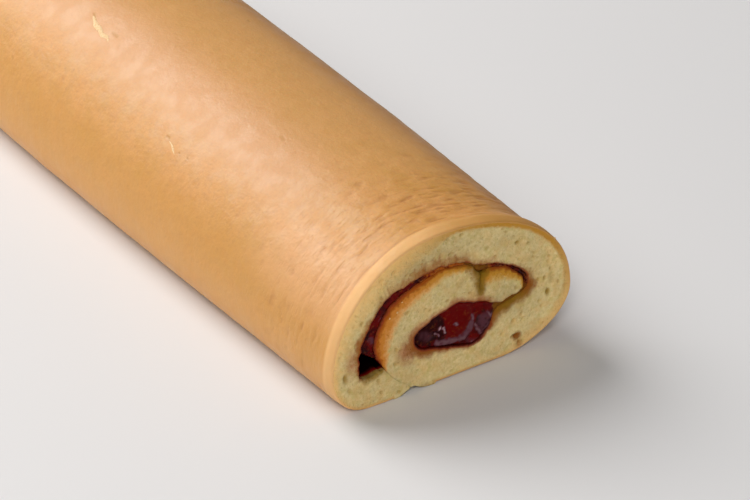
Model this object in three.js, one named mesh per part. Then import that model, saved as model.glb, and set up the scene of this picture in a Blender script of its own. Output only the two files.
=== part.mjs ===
// A swiss roll: one sheet of sponge cake rolled up with jam, cut square at both ends and lying on its seam.
// Millimetres, +Z up. The roll lies along Y. The origin is in the middle of its flat base.
import * as THREE from "three";

// Driving sizes of the whole roll.
const ROLL_LENGTH = 280;
const ROLL_WIDTH = 94; // at the cut ends
const ROLL_HEIGHT = 57;
const BELLY = 0.033; // share by which the middle is fuller than the ends would be without their rims
const BELLY_REACH = 110; // from a cut end to where the roll is at its fullest
const NECK = 0.019; // share by which the roll narrows behind the rim of a cut
const NECK_REACH = [3, 10]; // where the narrowing starts and ends, counted from the cut
const NECK_X = -30; // the place across the roll that it narrows towards
const BEND = 0.3; // how far the middle of the roll bows towards -X

// The outside of the sheet, seen from the -Y end.
const CROWN_X = -4.5; // the highest point is a little left of the middle
const LEFT_WAIST = 15; // height of the widest point on each side
const RIGHT_WAIST = 19;
const LEFT_FULLNESS = 1.95; // exponent of each shoulder: 2 is an ellipse, more is squarer
const RIGHT_FULLNESS = 2.13;
const HEEL_RADIUS = 14.5; // lower left corner
const TOE_START = 19.2; // X where the flat base ends and the lower right corner begins
const TOE_FULLNESS = 1.85;
const LIP_DEPTH = 1.8; // how far the knife drew the skin in at a cut
const LIP_DEPTH_RIGHT = 0.5; // and on the right, where the rim stayed sharper
const LIP_EASES = [28, 44]; // X where the one depth starts to turn into the other, and where it has
const LIP_LENGTH = 3.6; // how far along the roll the lip reaches
const CREASE_REACH = 6.2; // a shallow crease runs round the skin behind each lip
const CREASE_DEPTH = 0.4;
const CREASE_HALF = 1.1;

// The two faces of the sheet inside the roll, as [x, z]. The browned face starts on the base beside the
// sheet's outer end, rises round the inner turn and ends in the crack where the sheet first broke.
const INNER_TURN = [
  [-6.5, 0], [-11.5, 0.6], [-16, 2.9], [-20.4, 6], [-23.6, 9.2], [-26, 12.4], [-28.2, 15.6], [-30.2, 19.3],
  [-30.5, 24.4], [-28.4, 30.4], [-24.8, 35.6], [-20, 38.6], [-15, 40.3], [-10, 41.5], [-4.5, 42.4],
  [0.5, 42.2], [5, 40.9], [8.6, 38.4], [9.9, 34.6], [11, 28.6],
];
const CRACK_X = [9, 14]; // the crack lies between these two, below this height
const CRACK_TOP = 36.4;
// The broken-off start of the sheet: a knob from the crack round to the roof of the jam pool.
const KNOB = [
  [11, 28.6], [12.4, 33.2], [14, 36], [16.8, 35.8], [20.6, 34.1], [24, 31.1], [26.6, 27.6], [27.2, 24.7],
  [25.2, 23.5], [22.2, 22.5], [19.6, 21.6], [17, 22.2],
];
const POOL_ROOF = [
  [17, 22.2], [13, 24.6], [9.6, 26.1], [5.6, 27.7], [2, 28.7], [-2, 28], [-6.4, 26.6], [-10.6, 25],
  [-13.9, 22.7], [-15.4, 19.6],
];
const POOL_FLOOR = [
  [-15.4, 19.6], [-14.2, 16.8], [-11, 14.9], [-6, 13.8], [-1, 11.9], [4.5, 10.4], [9, 9.9], [12.8, 12.4],
  [15.4, 15.6], [17.2, 18.8], [20.8, 20.4], [25, 21.6], [28.4, 22.7],
];
// The crumb face of the outer turn, from the right over the top and down to the hollow at the sheet's end.
const OUTER_TURN = [
  [28.4, 22.7], [29.9, 25], [29.3, 28.3], [26.2, 32], [21.6, 35.2], [16.6, 37.6], [11.4, 39.7], [5, 43],
  [0, 44.7], [-5, 45], [-10.5, 44.1], [-16.5, 42.5], [-22.6, 41.2], [-27, 38.5], [-31.2, 34.1], [-34.6, 29.2],
  [-36.7, 24.2],
];
const HOLLOW = [[-36.7, 24.2], [-37.4, 19.6], [-37, 14.6], [-34.9, 11.3], [-32, 10.9], [-28.6, 12.8]];
const SEAM_GAP = 0.4; // between the sheet's outer end and the turn that it lies against
const SEAM_TOP = 13.2; // height at which the two part
const TAIL_TIP = [[-17.6, 1.9], [-19.6, 0.4], [-23.5, 0]];

// Jam: how far it stays clear of the sponge, and how far behind a cut it starts in each part of the roll.
const JAM_GAP = 0.3;
const POOL_RECESS = 0.6;
const TURN_RECESS = 1.5;
const HOLLOW_RECESS = 9;
const POOL_CENTRE = [1.2, 19.3];
const POOL_HALF = [17, 10];
const HOLLOW_TOP = 24; // the hollow empties between these two heights
const HOLLOW_FLOOR = 19.5;

// Spacing of points along the outlines, and where the sections stand, counted from a cut end.
const OUTSIDE_STEP = 3.4;
const INSIDE_STEP = 2.8;
const LIP_STATIONS = [0, 0.2, 0.55, 1]; // as shares of LIP_LENGTH
const CREASE_STATIONS = [-1, 0, 1]; // as shares of CREASE_HALF, about CREASE_REACH
const BODY_STATIONS = [10, 24, 50, 80, 110, 140]; // the last one is the middle of the roll

const SPONGE_MATERIAL = new THREE.MeshStandardMaterial({ color: 0xd9a564, roughness: 0.7, metalness: 0 });
const JAM_MATERIAL = new THREE.MeshStandardMaterial({ color: 0x5c0b12, roughness: 0.18, metalness: 0 });

const smooth = (from, to, value) => THREE.MathUtils.smoothstep(value, from, to);

// Evenly spaced points on a smooth curve through the given ones, ends included.
function through(points, step) {
  const curve = new THREE.SplineCurve(points.map(([x, z]) => new THREE.Vector2(x, z)));
  curve.arcLengthDivisions = 400;
  return curve.getSpacedPoints(Math.max(2, Math.round(curve.getLength() / step)));
}

// A quarter of a superellipse about a centre, from one angle to another in degrees.
function quarter(centre, half, exponent, from, to, step) {
  const power = 2 / exponent;
  const count = Math.round((((half[0] + half[1]) / 2) * Math.PI) / 2 / step);
  return Array.from({ length: count + 1 }, (_, i) => {
    const angle = THREE.MathUtils.degToRad(from + ((to - from) * i) / count);
    const [c, s] = [Math.cos(angle), Math.sin(angle)];
    return new THREE.Vector2(
      centre[0] + half[0] * Math.sign(c) * Math.abs(c) ** power,
      centre[1] + half[1] * Math.sign(s) * Math.abs(s) ** power,
    );
  });
}

// Joins stretches end to end, leaving out the point that two of them share.
function joined(...stretches) {
  const points = [];
  for (const stretch of stretches)
    for (const point of stretch)
      if (!points.length || points.at(-1).distanceTo(point) > 0.2) points.push(point);
  return points;
}

// The outside of the roll, anticlockwise from where the inner turn meets the base to the sheet's outer end.
function outside() {
  const right = ROLL_WIDTH / 2;
  const crown = ROLL_HEIGHT;
  const toeHalf = [right - TOE_START, RIGHT_WAIST];
  const toe = quarter([TOE_START, RIGHT_WAIST], toeHalf, TOE_FULLNESS, -90, 0, OUTSIDE_STEP);
  const rightHalf = [right - CROWN_X, crown - RIGHT_WAIST];
  const rightShoulder = quarter([CROWN_X, RIGHT_WAIST], rightHalf, RIGHT_FULLNESS, 0, 90, OUTSIDE_STEP);
  const leftHalf = [right + CROWN_X, crown - LEFT_WAIST];
  const leftShoulder = quarter([CROWN_X, LEFT_WAIST], leftHalf, LEFT_FULLNESS, 90, 180, OUTSIDE_STEP);
  const heelHalf = [HEEL_RADIUS, HEEL_RADIUS];
  const heel = quarter([HEEL_RADIUS - right, HEEL_RADIUS], heelHalf, 2, 180, 270, OUTSIDE_STEP);
  const [seamStart, tailEnd] = [INNER_TURN[0], TAIL_TIP.at(-1)].map(([x, z]) => new THREE.Vector2(x, z));
  return joined([seamStart], toe, rightShoulder, leftShoulder, heel, [tailEnd]);
}

// The upper face of the sheet's outer end: the inner turn's own curve, moved off it by the seam's gap.
function tailFace() {
  const low = TAIL_TIP[0][1] + 1;
  const turn = through(INNER_TURN, INSIDE_STEP).filter((point) => point.y > low && point.y < SEAM_TOP);
  return turn.reverse().map((point, i, all) => {
    const along = all[Math.min(i + 1, all.length - 1)].clone().sub(all[Math.max(i - 1, 0)]).normalize();
    return new THREE.Vector2(point.x + along.y * SEAM_GAP, point.y - along.x * SEAM_GAP);
  });
}

// The whole edge of the sheet's section, anticlockwise. skin marks the points on the outside of the roll.
function spongeOutline() {
  const skin = outside();
  const tail = joined(through([...TAIL_TIP].reverse(), INSIDE_STEP).slice(1), tailFace().reverse());
  const inside = joined(
    tail,
    ...[HOLLOW, OUTER_TURN, POOL_FLOOR, POOL_ROOF, KNOB, INNER_TURN].map((points) =>
      through(points, INSIDE_STEP).reverse(),
    ),
  ).slice(0, -1);
  return [...skin.map((at) => ({ at, skin: true })), ...inside.map((at) => ({ at, skin: false }))];
}

// The edge of the jam's section, anticlockwise: the space between the sheet's faces, kept clear of them.
// It bridges the crack, which stays empty.
function jamOutline() {
  const crackFloor = INNER_TURN.at(-1)[1] - 1;
  const inCrack = ({ x, y }) => x > CRACK_X[0] && x < CRACK_X[1] && y > crackFloor && y < CRACK_TOP;
  const faces = joined(
    through(INNER_TURN, INSIDE_STEP).filter(({ y }) => y > SEAM_TOP + INSIDE_STEP),
    ...[KNOB, POOL_ROOF, POOL_FLOOR, OUTER_TURN, HOLLOW].map((points) => through(points, INSIDE_STEP)),
  );
  const edge = faces.filter((point) => !inCrack(point));
  return edge.map((point, i) => {
    const before = edge[(i + edge.length - 1) % edge.length];
    const after = edge[(i + 1) % edge.length];
    const into = inward(before, point, after);
    return { at: point.clone().addScaledVector(into, JAM_GAP), skin: false };
  });
}

// Unit vector into an anticlockwise outline at one of its corners, square to both sides on average.
function inward(before, point, after) {
  const left = (from, to) => new THREE.Vector2(from.y - to.y, to.x - from.x).normalize();
  return left(before, point).add(left(point, after)).normalize();
}

// How far the jam lies behind a cut at a point of the section.
function jamRecess({ x, y }) {
  const [dx, dz] = [(x - POOL_CENTRE[0]) / POOL_HALF[0], (y - POOL_CENTRE[1]) / POOL_HALF[1]];
  const outOfPool = smooth(1, 1.3, Math.hypot(dx, dz));
  const inHollow = x < POOL_CENTRE[0] - POOL_HALF[0] ? 1 - smooth(HOLLOW_FLOOR, HOLLOW_TOP, y) : 0;
  const turn = THREE.MathUtils.lerp(POOL_RECESS, TURN_RECESS, outOfPool);
  return THREE.MathUtils.lerp(turn, HOLLOW_RECESS, inHollow);
}

// Where a point of the section comes to lie at position y along the roll.
function placed(point, y) {
  const reach = ROLL_LENGTH / 2 - Math.abs(y);
  const neck = NECK * smooth(...NECK_REACH, reach);
  const fullness = 1 + BELLY * smooth(0, BELLY_REACH, reach) - neck;
  const bow = BEND * (1 - ((2 * y) / ROLL_LENGTH) ** 2);
  return new THREE.Vector3(point.x * fullness + NECK_X * neck - bow, y, point.y * fullness);
}

// The stations of all sections along Y, from one cut end to the other.
function stations() {
  const lip = LIP_STATIONS.map((share) => share * LIP_LENGTH);
  const crease = CREASE_STATIONS.map((share) => CREASE_REACH + share * CREASE_HALF);
  const half = [...lip, ...crease, ...BODY_STATIONS];
  const near = half.map((reach) => reach - ROLL_LENGTH / 2);
  return [...near, ...near.slice(0, -1).reverse().map((y) => -y)];
}

// A closed solid through the same outline at each station. place gives a point's position at a station.
function lofted(outline, ys, place) {
  const count = outline.length;
  const positions = ys.flatMap((y) => outline.flatMap((point) => place(point, y).toArray()));
  const faces = [];
  for (let row = 0; row < ys.length - 1; row++)
    for (let i = 0; i < count; i++) {
      const [a, b] = [row * count + i, row * count + ((i + 1) % count)];
      faces.push(a, b + count, b, a, a + count, b + count);
    }
  const last = (ys.length - 1) * count;
  for (const [a, b, c] of THREE.ShapeUtils.triangulateShape(outline.map(({ at }) => at), [])) {
    faces.push(a, b, c);
    faces.push(last + a, last + c, last + b);
  }
  const geometry = new THREE.BufferGeometry();
  geometry.setAttribute("position", new THREE.Float32BufferAttribute(positions, 3));
  geometry.setIndex(faces);
  geometry.computeVertexNormals();
  return geometry;
}

// How far the skin is sunk at a place x across the roll, reach millimetres behind a cut.
function skinDepth(x, reach) {
  const atCut = THREE.MathUtils.lerp(LIP_DEPTH, LIP_DEPTH_RIGHT, smooth(...LIP_EASES, x));
  const lip = atCut * (1 - Math.min(1, reach / LIP_LENGTH)) ** 2;
  return lip + CREASE_DEPTH * Math.max(0, 1 - Math.abs(reach - CREASE_REACH) / CREASE_HALF);
}

// The sponge sheet. Its skin is drawn in round each cut and sunk at the crease. The base stays flat.
function sponge() {
  const outline = spongeOutline();
  const inwards = outline.map(({ at }, i) => {
    const before = outline[(i + outline.length - 1) % outline.length].at;
    return inward(before, at, outline[(i + 1) % outline.length].at);
  });
  const place = (point, y) => {
    const draw = point.skin ? skinDepth(point.at.x, ROLL_LENGTH / 2 - Math.abs(y)) : 0;
    const moved = point.at.clone().addScaledVector(inwards[outline.indexOf(point)], draw);
    if (point.at.y === 0) moved.y = 0;
    return placed(moved, y);
  };
  return lofted(outline, stations(), place);
}

// The jam, from just behind one cut to just behind the other.
function jam() {
  const outline = jamOutline();
  const ends = [-1, 1].map((side) => (side * ROLL_LENGTH) / 2);
  const between = stations().filter((y) => ROLL_LENGTH / 2 - Math.abs(y) > HOLLOW_RECESS);
  const place = (point, y) => {
    const recess = Math.abs(y) === ROLL_LENGTH / 2 ? jamRecess(point.at) : 0;
    return placed(point.at, y - Math.sign(y) * recess);
  };
  return lofted(outline, [ends[0], ...between, ends[1]], place);
}

const spongeMesh = new THREE.Mesh(sponge(), SPONGE_MATERIAL);
spongeMesh.name = "sponge";
const jamMesh = new THREE.Mesh(jam(), JAM_MATERIAL);
jamMesh.name = "jam";

const roll = new THREE.Group();
roll.name = "swiss_roll";
roll.add(spongeMesh, jamMesh);
const middle = new THREE.Box3().setFromObject(roll).getCenter(new THREE.Vector3());
for (const mesh of [spongeMesh, jamMesh]) mesh.geometry.translate(-middle.x, 0, 0);

export default roll;
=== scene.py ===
"""A whole swiss roll: browned skin, open crumb at both cuts, and a filling of dark red jam.

The roll lies along Y on Z = 0. Its section is worked on in millimetres, as [x, z] seen from the -Y end,
with x = 0 halfway across, and placed() brings it into the part's own frame, in metres.
"""
import itertools
import math

import bmesh
import bpy
import numpy as np
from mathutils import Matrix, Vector
from mathutils.geometry import delaunay_2d_cdt


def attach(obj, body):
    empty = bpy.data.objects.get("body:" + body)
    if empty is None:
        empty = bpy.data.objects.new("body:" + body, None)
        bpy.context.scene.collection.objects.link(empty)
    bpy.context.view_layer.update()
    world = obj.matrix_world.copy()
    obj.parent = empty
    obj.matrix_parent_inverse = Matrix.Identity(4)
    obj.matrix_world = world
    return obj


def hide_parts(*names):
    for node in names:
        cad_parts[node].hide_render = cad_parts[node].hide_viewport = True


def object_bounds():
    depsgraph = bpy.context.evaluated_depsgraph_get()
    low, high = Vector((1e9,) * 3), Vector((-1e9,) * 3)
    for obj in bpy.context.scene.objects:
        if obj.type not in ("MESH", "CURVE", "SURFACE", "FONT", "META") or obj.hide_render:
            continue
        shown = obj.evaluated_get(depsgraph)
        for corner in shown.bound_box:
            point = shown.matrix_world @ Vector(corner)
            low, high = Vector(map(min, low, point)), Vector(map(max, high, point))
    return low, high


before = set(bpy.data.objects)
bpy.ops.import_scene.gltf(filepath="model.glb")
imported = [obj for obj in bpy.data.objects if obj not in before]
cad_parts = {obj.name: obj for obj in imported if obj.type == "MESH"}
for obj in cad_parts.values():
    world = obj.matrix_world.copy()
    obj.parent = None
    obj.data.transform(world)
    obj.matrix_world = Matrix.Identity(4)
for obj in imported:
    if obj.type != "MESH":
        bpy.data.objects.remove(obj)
cad_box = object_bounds()

MM = 0.001

# The roll's long form, as the solids have it.
ROLL_LENGTH = (cad_box[1][1] - cad_box[0][1]) / MM
HALF = ROLL_LENGTH / 2
BELLY = 0.033  # the middle is fuller than the cut ends by this share
BELLY_REACH = 110  # from a cut end to where the roll is at its fullest
NECK = 0.019  # just behind a cut the roll is slimmer by this share
NECK_REACH = (3, 10)
NECK_X = -30  # the neck draws in towards this x
BEND = 0.3  # how far the middle bows towards -X
LIP_DEPTH = 0.85  # how far the skin is drawn in at a cut
LIP_DEPTH_RIGHT = 0.45
LIP_EASES = (28, 44)  # the x between which the lip grows shallow
LIP_LENGTH = 6

# Landmarks of the section, [x, z].
CRACK_TIP = (11, 28.6)  # the crack where the sheet broke at its first bend
KNOB_NOSE = (27.2, 24.7)  # the far end of the broken-off knob
KNOB_SHOULDER = (13.7, 35.5)  # where the knob's top meets the crack
POOL_CENTRE = (1.2, 19.3)

# Fineness of the meshes.
SKIN_STEP = 1
INSIDE_STEP = 0.6
CUT_STEP = 0.52
JAM_STEP = 0.42


# ---- helpers


def smooth(low, high, value):
    """0 below low, 1 above high, and a smooth step between them. low may be the larger."""
    share = np.clip((value - low) / (high - low), 0, 1)
    return share * share * (3 - 2 * share)


def noise(seed, *coordinates):
    """Smooth noise from -1 to 1 with features about one unit apart, at arrays of coordinates."""
    cells = [np.floor(c).astype(np.int64) for c in coordinates]
    shares = [smooth(0, 1, c - cell) for c, cell in zip(coordinates, cells)]
    total = 0
    for steps in itertools.product((0, 1), repeat=len(cells)):
        weight, key = 1, np.int64(seed * 7919)
        for step, cell, share in zip(steps, cells, shares):
            weight = weight * (share if step else 1 - share)
            key = ((key ^ (cell + step)) * 0x5BD1E995) & 0xFFFFFFFF
            key = key ^ (key >> 15)
        key = (key * 0x2C1B3C6D) & 0xFFFFFFFF
        total = total + weight * ((key ^ (key >> 13)) & 0xFFFF) / 0x7FFF
    return total - 1


def length_along(line):
    """The distance from the start of a line of points to each of them."""
    return np.concatenate([[0], np.cumsum(np.hypot(*np.diff(line, axis=0).T))])


def nearest_on(points, line):
    """For each point, its distance to a line and how far along the line the nearest place is."""
    along = length_along(line)
    best = np.full(len(points), np.inf)
    where = np.zeros(len(points))
    for start, end, before in zip(line[:-1], line[1:], along):
        step = end - start
        share = np.clip(((points - start) @ step) / max(step @ step, 1e-12), 0, 1)
        gap = np.hypot(*(points - start - share[:, None] * step).T)
        closer = gap < best
        best[closer] = gap[closer]
        where[closer] = before + share[closer] * math.sqrt(step @ step)
    return best, where


def inside(points, loop):
    """True for each point that lies inside a closed loop."""
    x, z = points.T
    odd = np.zeros(len(points), bool)
    for (xa, za), (xb, zb) in zip(loop, np.roll(loop, -1, axis=0)):
        if za != zb:
            crosses = ((za > z) != (zb > z)) & (x < (xb - xa) * (z - za) / (zb - za) + xa)
            odd ^= crosses
    return odd


def looked_up(table, at):
    """What each column of a table after its first gives at values that its first column runs through."""
    first, *others = np.array(table, float).T
    return [np.interp(at, first, column) for column in others]


def off_centre(points, x, z, half_width, half_height):
    """How far each point lies from the middle of an oval, on whose edge it is 1."""
    return np.hypot((points[:, 0] - x) / half_width, (points[:, 1] - z) / half_height)


def index_near(line, place):
    return int(np.argmin(np.hypot(*(line - np.array(place)).T)))


def outward(line, closed=False):
    """Unit vectors square to a line that runs anticlockwise round what it encloses."""
    ahead, behind = np.roll(line, -1, axis=0), np.roll(line, 1, axis=0)
    if not closed:
        ahead[-1], behind[0] = line[-1], line[0]
    along = ahead - behind
    along /= np.maximum(np.hypot(*along.T), 1e-9)[:, None]
    return np.stack([along[:, 1], -along[:, 0]], axis=1)


# ---- the section, read from the solids


def middle_ring(node):
    """The corners of a node's section at Y = 0, in metres, in order and anticlockwise seen from -Y."""
    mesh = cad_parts[node].data
    links = {}
    for face in mesh.polygons:
        corners = [mesh.vertices[i].co for i in face.vertices]
        ends = [(round(c.x, 7), round(c.z, 7)) for c in corners if abs(c.y) < 1e-6]
        if len(ends) == 2:
            for here, there in (ends, ends[::-1]):
                links.setdefault(here, set()).add(there)
    ring = [next(iter(sorted(links)))]
    while len(ring) < len(links):
        ring.append(sorted(links[ring[-1]] - {ring[0], *ring[-2:-1]})[0])
    ring = np.array(ring)
    after = np.roll(ring, -1, axis=0)
    area = (ring[:, 0] * after[:, 1] - after[:, 0] * ring[:, 1]).sum()
    return ring if area > 0 else ring[::-1]


sponge_ring = middle_ring("sponge")
MIDDLE_X = sponge_ring[:, 0].min() / 2 + sponge_ring[:, 0].max() / 2


def as_section(ring):
    """A ring from the middle of the roll, in millimetres and at the size that it has at a cut."""
    return (ring - [MIDDLE_X, 0]) / MM / (1 + BELLY - NECK)


def placed(x, reach, z, side=-1):
    """Points of the section, reach behind the cut on the given side of the roll, in the part's frame."""
    neck = NECK * smooth(*NECK_REACH, reach)
    full = 1 + BELLY * smooth(0, BELLY_REACH, reach) - neck
    across = x * full + NECK_X * (neck - NECK) + BEND * ((HALF - reach) / HALF) ** 2
    return np.stack(
        np.broadcast_arrays(across * MM + MIDDLE_X, side * (HALF - reach) * MM, z * full * MM), axis=-1
    )


def rounded(line, step, sharp=math.radians(48)):
    """More points, about step apart, on a curve through a line of points that keeps its sharp corners."""
    along = np.diff(line, axis=0)
    long = np.hypot(*along.T)
    heading = along / long[:, None]
    turn = np.arccos(np.clip((heading[:-1] * heading[1:]).sum(1), -1, 1))
    tangent_in = np.vstack([along[:1], along])
    tangent_out = np.vstack([along, along[-1:]])
    for i in np.flatnonzero(turn < sharp) + 1:
        mean = (heading[i - 1] + heading[i]) / 2
        tangent_in[i], tangent_out[i] = mean * long[i - 1], mean * long[i]
    points = []
    for i in range(len(along)):
        count = max(1, round(long[i] / step))
        t = (np.arange(count) / count)[:, None]
        points.append(
            line[i] * (2 * t**3 - 3 * t**2 + 1)
            + tangent_out[i] * (t**3 - 2 * t**2 + t)
            + line[i + 1] * (3 * t**2 - 2 * t**3)
            + tangent_in[i + 1] * (t**3 - t**2)
        )
    return np.vstack(points + [line[-1:]])


def sponge_lines():
    """The roll's skin from the seam round to the sheet's outer end, and the sheet's faces inside it."""
    loop = as_section(sponge_ring)
    base = sorted(np.flatnonzero(loop[:, 1] < 1e-3), key=lambda i: loop[i, 0])
    tail_end, seam_start = base[1], base[2]
    loop = np.roll(loop, -seam_start, axis=0)
    loop = np.vstack([loop, loop[:1]])
    last = (tail_end - seam_start) % (len(loop) - 1)
    skin, inner = rounded(loop[: last + 1], SKIN_STEP), rounded(loop[last:], INSIDE_STEP)
    return np.maximum(skin, (-np.inf, 0)), np.maximum(inner, (-np.inf, 0))


skin_line, inside_line = sponge_lines()
crack = index_near(inside_line, CRACK_TIP)
nose = index_near(inside_line, KNOB_NOSE)
shoulder = index_near(inside_line, KNOB_SHOULDER)
skin_along = length_along(skin_line)
inside_along = length_along(inside_line)
OUTER_TURN = 180  # up to so many mm along them the inner faces are those of the outer turn
outer_end = int(np.searchsorted(inside_along, OUTER_TURN))


# ---- relief

BASE_LIFT = 0.6  # how far the cut's lower edge stands off the base
BASE_LIFT_FROM = (-22, -8)
CREASE_REACH = 6.2  # the long crease that runs round behind the lip
SECOND_CREASE_REACH = 8.6
SKIN_SEED = 11
EDGE_RADIUS = 0.5  # of the edge between skin and cut
# Where the cut rounds over softly into the skin: mm round the skin, and how far back its edge lies.
EDGE_BACK = [(112, 0), (136, 0.5), (152, 1.15), (196, 1.15), (214, 0.6), (228, 0)]
EDGE_BACK_WIDTH = 5.6

# The edges that the sheet's inner faces make with a cut, by mm along them from the sheet's outer end:
# how wide and how deep the edge is rounded, and how much jam coats the face behind it.
EDGES = [
    (0, 0.4, 0, 0), (3, 0.3, 0.06, 0), (21, 0.3, 0.08, 0), (25, 1.2, 0.8, 0), (28, 1.6, 1.2, 0),
    (31, 1.4, 1, 0.3), (35, 0.8, 0.5, 1), (46, 0.8, 0.5, 1), (90, 1, 0.4, 0.4), (108, 0.8, 0.4, 0.6),
    (122, 0.8, 0.4, 0.8), (128, 1.2, 0.6, 0.2), (132, 2.4, 1.2, 0.1), (142, 3, 1.4, 0.2),
    (147, 1.4, 0.8, 0.8), (152, 0.7, 0.4, 1), (176, 0.8, 0.4, 1), (208, 0.7, 0.4, 1), (215, 1.2, 0.7, 0.4),
    (226, 1.4, 0.8, 0.1), (230, 2, 1.2, 0.2), (237, 2.4, 1.4, 0.5), (246, 2.2, 1.2, 0.4),
    (249, 2.4, 1.2, 0), (256.3, 1.6, 0.9, 0), (264, 2.4, 1.2, 0), (268, 2, 1, 0.1), (286, 1.4, 0.8, 0.2),
    (296, 1.4, 0.8, 0.5), (308, 1.6, 0.9, 0.8), (320, 1.6, 0.9, 0.8), (325, 1, 0.5, 0.3),
    (328, 0.3, 0.1, 0), (345, 0.3, 0.06, 0), (353, 0.4, 0, 0),
]
# Faces that lie against each other: mm along one of them, mm along the other, the gap that is left
# at a cut, and how far behind it they have closed up.
PRESSED = [((2, 25), (328, 349), 0.05, 0.3), ((249, 256.3), (256.3, 265), 0.3, 0.5)]
PRESSED_GAP = 0.015
PRESSED_PASSES = 3
# How far the sheet's inner faces bulge into the jam at a cut, by mm along them, and up to where behind it.
BULGES = [
    (26, 0), (31, 0.5), (36, 1), (41, 1.4), (45, 1.6), (52, 1.1), (60, 0.9), (69, 0.9), (78, 1.1),
    (87, 1.7), (95, 1.4), (104, 0.5), (114, 0.1), (122, 0), (176, 0), (183, 0.8), (190, 1.5), (198, 1.5),
    (206, 1.3), (212, 0.8), (218, 0.2), (222, 0), (226, 0.7), (229, 1.4), (233, 1.3), (238, 0.7),
    (244, 0.2), (248, 0), (282, 0), (288, -0.4), (297, -0.7), (306, -0.6), (314, -0.3), (322, 0),
]
BULGE_REACH = 6


def rounding(gap, width, depth):
    """How deep a rounded edge lies under the cut, gap in from the edge."""
    share = np.clip(1 - gap / width, 0, 1)
    return depth * (1 - np.sqrt(1 - share**2))


def part_of(line, along, low, high):
    return line[(along >= low) & (along <= high)]


def pressed_shifts():
    """For each pair of pressed faces: how far the inner points move at a cut, how far they move behind it,
    and how far behind it that holds."""
    out = outward(inside_line)
    for first, second, left, closes in PRESSED:
        is_crack = first[1] == second[0]
        shifts = []
        for kept in (left, PRESSED_GAP):
            shift = np.zeros(len(inside_line))
            for _ in range(1 if is_crack else PRESSED_PASSES):
                moved = inside_line + out * shift[:, None]
                for here, there in ((first, second), (second, first)):
                    own = (inside_along >= here[0]) & (inside_along <= here[1])
                    gap = nearest_on(moved[own], part_of(moved, inside_along, *there))[0]
                    at = inside_along[own]
                    if is_crack:
                        ends = smooth(0, 3, np.abs(at - (here[0] if here == first else here[1])))
                    else:
                        ends = smooth(0, 1.6, at - here[0]) * smooth(0, 1.6, here[1] - at)
                        ends = ends * smooth(1.6, 0.9, gap)
                    shift[own] += np.clip(gap - kept, 0, 3) / 2 * ends
            shifts.append(shift)
        yield *shifts, closes


pressed = list(pressed_shifts())


def inner_face(reach):
    """The sheet's inner faces as they lie reach behind a cut's rounded edges."""
    shift = sum(front + (behind - front) * smooth(0, closes, reach) for front, behind, closes in pressed)
    ragged = 0.26 * noise(5, inside_along / 2.1) + 0.16 * noise(7, inside_along / 1.1)
    ragged = ragged * smooth(3, 0, reach)
    ragged = ragged * smooth(24, 30, inside_along) * smooth(330, 322, inside_along)
    ragged = ragged * smooth(3, 9, np.abs(inside_along - inside_along[crack]))
    bulge = looked_up(BULGES, inside_along)[0] * smooth(BULGE_REACH, 1, reach)
    bulge = bulge * (1 + 0.2 * noise(6, inside_along / 2.2))
    return inside_line + outward(inside_line) * (shift + ragged + bulge)[:, None]


cut_line = inner_face(0)


def nearest_face(points, first=0, last=None):
    """For each point of a cut, how far off the inner faces are, or part of them, and where along them."""
    part = slice(first, last)
    gap, at = nearest_on(points, cut_line[part])
    return gap, np.interp(at, length_along(cut_line[part]), inside_along[part])


def drawn_in(points, normals, reach):
    """The skin's points where they lie reach behind a cut, whose rounded lip curls in."""
    deep = LIP_DEPTH + (LIP_DEPTH_RIGHT - LIP_DEPTH) * smooth(*LIP_EASES, points[:, 0])
    lift = BASE_LIFT * (0.3 + 0.7 * smooth(*BASE_LIFT_FROM, points[:, 0]))
    deep = lift + (deep - lift) * smooth(0, 7, points[:, 1])
    drawn = deep * np.clip(1 - reach / LIP_LENGTH, 0, 1) ** 2
    drawn = drawn + rounding(reach, EDGE_RADIUS, EDGE_RADIUS * 0.6)
    return points - normals * drawn[:, None]


def skin_relief(around, reach, along, seed):
    """How deep the skin lies under its smooth form, and how much of that is creases."""
    wander = along + 0.8 * noise(seed, around / 19) + 0.35 * noise(seed + 1, around / 6)
    off = wander - along + reach
    uneven = 0.09 * (1 + noise(seed + 10, around / 9, along / 2.6))
    uneven = uneven * smooth(0.4, 2.4, reach) * smooth(8, 5, reach)
    ring = 0.30 * np.exp(-(((off - CREASE_REACH) / 0.55) ** 2))
    ring = ring * smooth(-0.75, 0.3, noise(seed + 2, around / 13))
    second = 0.26 * np.exp(-(((off - SECOND_CREASE_REACH) / 0.4) ** 2))
    second = second * smooth(-0.1, 0.6, noise(seed + 3, around / 10))
    right = smooth(178, 112, around)
    near = smooth(6.5, 9.5, reach) * smooth(95, 12, reach) ** 1.6 * smooth(220, 196, around)
    far = smooth(9, 22, reach) * (0.35 + 0.3 * smooth(150, 30, reach))
    skew = wander + 0.7 * noise(seed + 9, around / 4, wander / 5)
    grooves = smooth(0.2, 0.66, noise(seed + 4, around / 6.5, skew / 1.1))
    fine = smooth(0.25, 0.75, noise(seed + 5, around / 3.2, skew / 0.85))
    dents = smooth(-0.1, 0.8, noise(seed + 8, around / 2.7, skew / 2))
    creases = near * (0.115 + 0.165 * right) * (grooves + 0.7 * fine) + far * 0.17 * dents
    swell = 0.2 * (1 + noise(seed + 6, around / 33, along / 27))
    swell = swell + 0.05 * (1 + noise(seed + 7, around / 8, along / 9))
    lines = ring + second + creases
    return lines + uneven + swell * smooth(0, 12, reach), lines


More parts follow.
